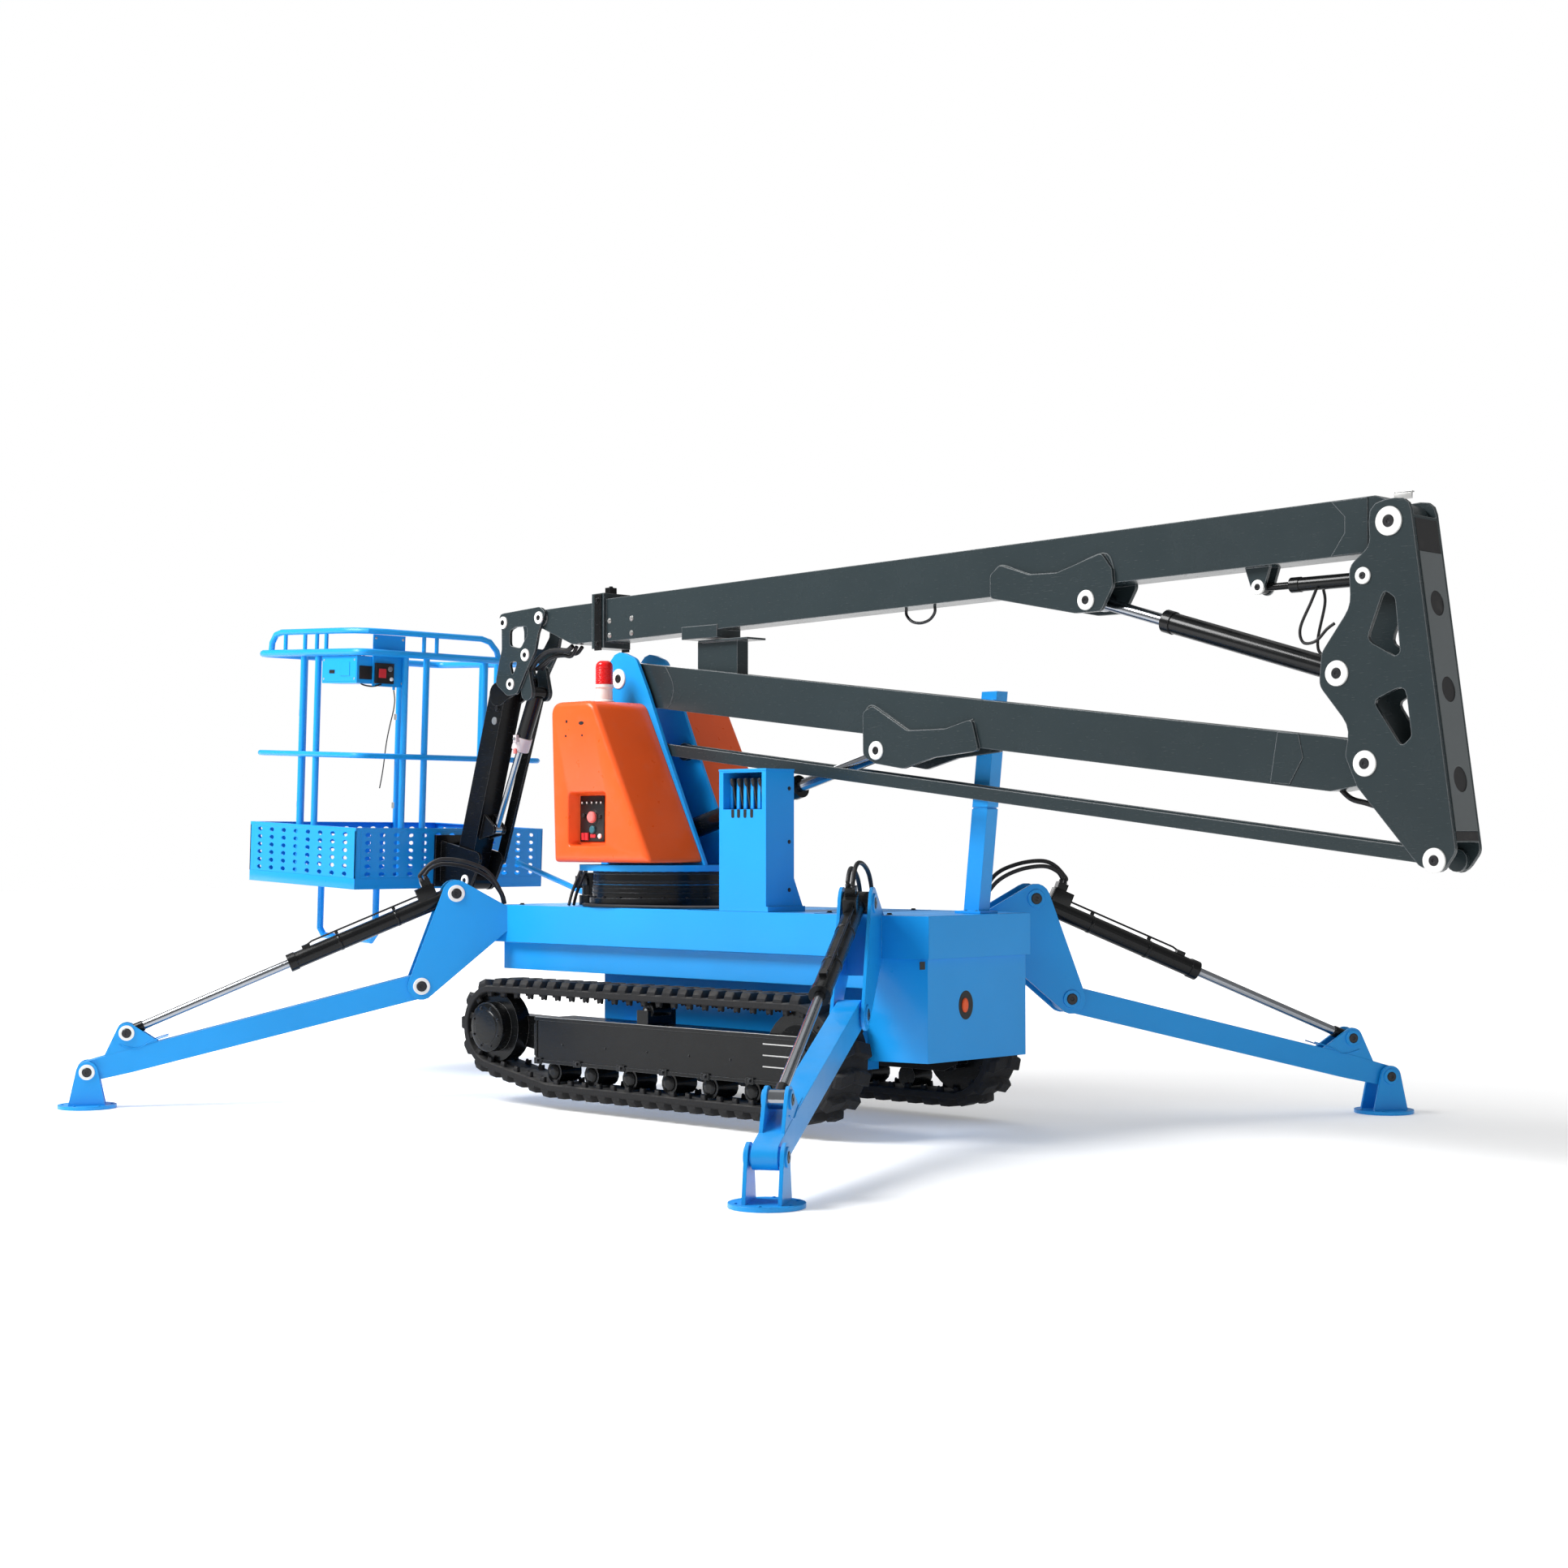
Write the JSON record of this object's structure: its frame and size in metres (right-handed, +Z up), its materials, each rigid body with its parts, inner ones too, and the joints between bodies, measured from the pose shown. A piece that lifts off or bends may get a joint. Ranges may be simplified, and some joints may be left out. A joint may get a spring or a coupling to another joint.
{
  "type": "crawler boom lift",
  "caption": "Crawler-tracked articulated boom lift standing on folding outriggers, with telescopic upper boom, jib and work basket.",
  "frame": {"origin": "centre of the bounding box seen from above, on the ground under the foot pads", "axes": "+X from the basket towards the boom's elbow, +Y to the left seen facing +X, +Z up"},
  "size_m": [5.7792, 3.6764, 2.1427],
  "materials": {
    "blue_paint": "gloss",
    "track_rubber": "matt",
    "black_paint": "satin",
    "orange_cover": "gloss",
    "red_lens": "gloss",
    "boom_grey_paint": "gloss",
    "chrome": "polished",
    "black_cable": "matt"
  },
  "bodies": {
    "chassis": {"deck_with_leg_brackets": "blue_paint", "undercarriage_frame": "blue_paint", "engine_box": "blue_paint", "track_right": "track_rubber", "track_frame_right": "black_paint", "track_left": "track_rubber", "track_frame_left": "black_paint", "rest_post": "blue_paint", "valve_console": "blue_paint", "console_levers": "black_paint", "slew_ring_base": "black_paint", "slew_motor": "black_paint", "basket_rest_arm": "blue_paint"},
    "turret": {"turret_frame": "blue_paint", "engine_cover_right": "orange_cover", "engine_cover_left": "orange_cover", "beacon": "red_lens"},
    "lower_boom": {"lower_boom": "boom_grey_paint", "boom_saddle": "blue_paint"},
    "parallel_link": {"parallel_link_right": "boom_grey_paint", "parallel_link_left": "boom_grey_paint"},
    "lower_lift_barrel": {"lower_lift_barrel": "black_paint"},
    "lower_lift_rod": {"lower_lift_rod": "chrome"},
    "elbow_yoke": {"elbow_yoke": "boom_grey_paint"},
    "upper_boom": {"upper_boom": "boom_grey_paint"},
    "upper_lift_barrel": {"upper_lift_barrel": "black_paint"},
    "upper_lift_rod": {"upper_lift_rod": "chrome"},
    "level_barrel": {"level_cylinder_barrel": "black_paint"},
    "level_rod": {"level_cylinder_rod": "chrome"},
    "telescope": {"telescopic_section": "boom_grey_paint"},
    "jib_head": {"jib_head": "boom_grey_paint"},
    "jib": {"jib": "boom_grey_paint"},
    "jib_link": {"jib_link": "black_paint"},
    "jib_barrel": {"jib_cylinder_barrel": "black_paint"},
    "jib_rod": {"jib_cylinder_rod": "chrome"},
    "basket": {"basket_tray": "blue_paint", "basket_bracket": "boom_grey_paint", "basket_rails": "blue_paint", "basket_step": "blue_paint", "basket_control_box": "blue_paint", "basket_instrument_plate": "blue_paint", "basket_cable": "black_cable"},
    "leg_front_right": {"leg_front_right": "blue_paint"},
    "foot_front_right": {"foot_front_right": "blue_paint"},
    "leg_barrel_front_right": {"leg_cylinder_front_right_barrel": "black_paint"},
    "leg_rod_front_right": {"leg_cylinder_front_right_rod": "chrome"},
    "leg_front_left": {"leg_front_left": "blue_paint"},
    "foot_front_left": {"foot_front_left": "blue_paint"},
    "leg_barrel_front_left": {"leg_cylinder_front_left_barrel": "black_paint"},
    "leg_rod_front_left": {"leg_cylinder_front_left_rod": "chrome"},
    "leg_rear_right": {"leg_rear_right": "blue_paint"},
    "foot_rear_right": {"foot_rear_right": "blue_paint"},
    "leg_barrel_rear_right": {"leg_cylinder_rear_right_barrel": "black_paint"},
    "leg_rod_rear_right": {"leg_cylinder_rear_right_rod": "chrome"},
    "leg_rear_left": {"leg_rear_left": "blue_paint"},
    "foot_rear_left": {"foot_rear_left": "blue_paint"},
    "leg_barrel_rear_left": {"leg_cylinder_rear_left_barrel": "black_paint"},
    "leg_rod_rear_left": {"leg_cylinder_rear_left_rod": "chrome"}
  },
  "joints": [
    {"name": "slew", "type": "hinge", "parent": "chassis", "child": "turret", "pos_m": [-0.68883, 0, 0.888], "axis": [0, 0, 1], "range_deg": [0, 130]},
    {"name": "lower_boom_lift", "type": "hinge", "parent": "turret", "child": "lower_boom", "pos_m": [-0.87333, 0, 1.727], "axis": [0, -1, 0], "range_deg": [0, 70]},
    {"name": "parallel_link_tilt", "type": "hinge", "parent": "turret", "child": "parallel_link", "pos_m": [-0.63533, 0, 1.426], "axis": [0, -1, 0], "range_deg": [0, 70]},
    {"name": "yoke_level", "type": "hinge", "parent": "lower_boom", "child": "elbow_yoke", "pos_m": [2.58267, 0, 1.305], "axis": [0, -1, 0], "range_deg": [-70, 0]},
    {"name": "lower_lift_barrel_tilt", "type": "hinge", "parent": "turret", "child": "lower_lift_barrel", "pos_m": [-0.72033, 0, 1.06], "axis": [0, -1, 0], "range_deg": [0, 56.13]},
    {"name": "lower_lift_rod_slide", "type": "slide", "parent": "lower_lift_barrel", "child": "lower_lift_rod", "axis": [0.9653, 0, 0.2612], "range_m": [0, 0.68334]},
    {"name": "upper_boom_lift", "type": "hinge", "parent": "elbow_yoke", "child": "upper_boom", "pos_m": [2.67167, 0, 2.055], "axis": [0, 1, 0], "range_deg": [0, 75]},
    {"name": "upper_lift_barrel_tilt", "type": "hinge", "parent": "elbow_yoke", "child": "upper_lift_barrel", "pos_m": [2.48467, 0, 1.591], "axis": [0, 1, 0], "range_deg": [0, 63.12]},
    {"name": "upper_lift_rod_slide", "type": "slide", "parent": "upper_lift_barrel", "child": "upper_lift_rod", "axis": [-0.9571, 0, 0.2897], "range_m": [0, 0.54866]},
    {"name": "level_cylinder_barrel_tilt", "type": "hinge", "parent": "elbow_yoke", "child": "level_barrel", "pos_m": [2.57967, 0, 1.892], "axis": [0, 1, 0], "range_deg": [0, 72.3]},
    {"name": "level_cylinder_rod_slide", "type": "slide", "parent": "level_barrel", "child": "level_rod", "axis": [-1, 0, -0.0048], "range_m": [0, 0.22665]},
    {"name": "telescope", "type": "slide", "parent": "upper_boom", "child": "telescope", "axis": [-0.9998, 0, -0.0215], "range_m": [0, 1.9]},
    {"name": "head_level", "type": "hinge", "parent": "telescope", "child": "jib_head", "pos_m": [-1.40433, 0, 2.013], "axis": [0, 1, 0], "range_deg": [-75, 0]},
    {"name": "jib_lift", "type": "hinge", "parent": "jib_head", "child": "jib", "pos_m": [-1.59233, 0, 1.738], "axis": [0, 1, 0], "range_deg": [0, 75]},
    {"name": "jib_link_tilt", "type": "hinge", "parent": "jib_head", "child": "jib_link", "pos_m": [-1.52233, 0, 1.833], "axis": [0, 1, 0], "range_deg": [0, 75]},
    {"name": "jib_cylinder_barrel_tilt", "type": "hinge", "parent": "jib_head", "child": "jib_barrel", "pos_m": [-1.50033, 0, 1.7], "axis": [0, 1, 0], "range_deg": [0, 69.05]},
    {"name": "jib_cylinder_rod_slide", "type": "slide", "parent": "jib_barrel", "child": "jib_rod", "axis": [-0.4179, 0, -0.9085], "range_m": [0, 0.09728]},
    {"name": "basket_level", "type": "hinge", "parent": "jib", "child": "basket", "pos_m": [-1.90033, 0, 0.89], "axis": [0, 1, 0], "range_deg": [-75, 0]},
    {"name": "leg_front_right_fold", "type": "hinge", "parent": "chassis", "child": "leg_front_right", "pos_m": [0.88439, -0.60557, 0.468], "axis": [-0.848, -0.5299, 0], "range_deg": [0, 95]},
    {"name": "leg_front_right_barrel_tilt", "type": "hinge", "parent": "chassis", "child": "leg_barrel_front_right", "pos_m": [0.80967, -0.486, 0.847], "axis": [-0.848, -0.5299, 0], "range_deg": [0, 98.14]},
    {"name": "leg_front_right_rod_slide", "type": "slide", "parent": "leg_barrel_front_right", "child": "leg_rod_front_right", "axis": [0.4885, -0.7817, -0.3876], "range_m": [-0.59371, 0]},
    {"name": "foot_front_right_tilt", "type": "hinge", "parent": "leg_front_right", "child": "foot_front_right", "pos_m": [1.58282, -1.7233, 0.146], "axis": [-0.848, -0.5299, 0], "range_deg": [-15, 15]},
    {"name": "leg_front_left_fold", "type": "hinge", "parent": "chassis", "child": "leg_front_left", "pos_m": [0.88439, 0.60557, 0.468], "axis": [0.848, -0.5299, 0], "range_deg": [0, 95]},
    {"name": "leg_front_left_barrel_tilt", "type": "hinge", "parent": "chassis", "child": "leg_barrel_front_left", "pos_m": [0.80967, 0.486, 0.847], "axis": [0.848, -0.5299, 0], "range_deg": [0, 98.14]},
    {"name": "leg_front_left_rod_slide", "type": "slide", "parent": "leg_barrel_front_left", "child": "leg_rod_front_left", "axis": [0.4885, 0.7817, -0.3876], "range_m": [-0.59371, 0]},
    {"name": "foot_front_left_tilt", "type": "hinge", "parent": "leg_front_left", "child": "foot_front_left", "pos_m": [1.58282, 1.7233, 0.146], "axis": [0.848, -0.5299, 0], "range_deg": [-15, 15]},
    {"name": "leg_rear_right_fold", "type": "hinge", "parent": "chassis", "child": "leg_rear_right", "pos_m": [-1.51905, -0.60557, 0.468], "axis": [-0.848, 0.5299, 0], "range_deg": [0, 95]},
    {"name": "leg_rear_right_barrel_tilt", "type": "hinge", "parent": "chassis", "child": "leg_barrel_rear_right", "pos_m": [-1.44433, -0.486, 0.847], "axis": [-0.848, 0.5299, 0], "range_deg": [0, 98.14]},
    {"name": "leg_rear_right_rod_slide", "type": "slide", "parent": "leg_barrel_rear_right", "child": "leg_rod_rear_right", "axis": [-0.4885, -0.7817, -0.3876], "range_m": [-0.59371, 0]},
    {"name": "foot_rear_right_tilt", "type": "hinge", "parent": "leg_rear_right", "child": "foot_rear_right", "pos_m": [-2.21748, -1.7233, 0.146], "axis": [-0.848, 0.5299, 0], "range_deg": [-15, 15]},
    {"name": "leg_rear_left_fold", "type": "hinge", "parent": "chassis", "child": "leg_rear_left", "pos_m": [-1.51905, 0.60557, 0.468], "axis": [0.848, 0.5299, 0], "range_deg": [0, 95]},
    {"name": "leg_rear_left_barrel_tilt", "type": "hinge", "parent": "chassis", "child": "leg_barrel_rear_left", "pos_m": [-1.44433, 0.486, 0.847], "axis": [0.848, 0.5299, 0], "range_deg": [0, 98.14]},
    {"name": "leg_rear_left_rod_slide", "type": "slide", "parent": "leg_barrel_rear_left", "child": "leg_rod_rear_left", "axis": [-0.4885, 0.7817, -0.3876], "range_m": [-0.59371, 0]},
    {"name": "foot_rear_left_tilt", "type": "hinge", "parent": "leg_rear_left", "child": "foot_rear_left", "pos_m": [-2.21748, 1.7233, 0.146], "axis": [0.848, 0.5299, 0], "range_deg": [-15, 15]}
  ],
  "couplings": [
    {"joint": "parallel_link_tilt", "follows": "lower_boom_lift", "ratio": 1},
    {"joint": "yoke_level", "follows": "lower_boom_lift", "ratio": -1},
    {"joint": "lower_lift_barrel_tilt", "follows": "lower_boom_lift", "ratio": 0.80144},
    {"joint": "lower_lift_rod_slide", "follows": "lower_boom_lift", "m_per_rad": 0.55903},
    {"joint": "upper_lift_barrel_tilt", "follows": "upper_boom_lift", "ratio": 0.84118},
    {"joint": "upper_lift_rod_slide", "follows": "upper_boom_lift", "m_per_rad": 0.41893},
    {"joint": "level_cylinder_barrel_tilt", "follows": "upper_boom_lift", "ratio": 0.96351},
    {"joint": "level_cylinder_rod_slide", "follows": "upper_boom_lift", "m_per_rad": 0.17305},
    {"joint": "head_level", "follows": "upper_boom_lift", "ratio": -1},
    {"joint": "jib_link_tilt", "follows": "jib_lift", "ratio": 1},
    {"joint": "jib_cylinder_barrel_tilt", "follows": "jib_lift", "ratio": 0.9202},
    {"joint": "jib_cylinder_rod_slide", "follows": "jib_lift", "m_per_rad": 0.074269},
    {"joint": "basket_level", "follows": "jib_lift", "ratio": -1},
    {"joint": "leg_front_right_barrel_tilt", "follows": "leg_front_right_fold", "ratio": 1.0326},
    {"joint": "leg_front_right_rod_slide", "follows": "leg_front_right_fold", "m_per_rad": -0.35789},
    {"joint": "leg_front_left_barrel_tilt", "follows": "leg_front_left_fold", "ratio": 1.0326},
    {"joint": "leg_front_left_rod_slide", "follows": "leg_front_left_fold", "m_per_rad": -0.35789},
    {"joint": "leg_rear_right_barrel_tilt", "follows": "leg_rear_right_fold", "ratio": 1.0326},
    {"joint": "leg_rear_right_rod_slide", "follows": "leg_rear_right_fold", "m_per_rad": -0.35789},
    {"joint": "leg_rear_left_barrel_tilt", "follows": "leg_rear_left_fold", "ratio": 1.0326},
    {"joint": "leg_rear_left_rod_slide", "follows": "leg_rear_left_fold", "m_per_rad": -0.35789}
  ]
}
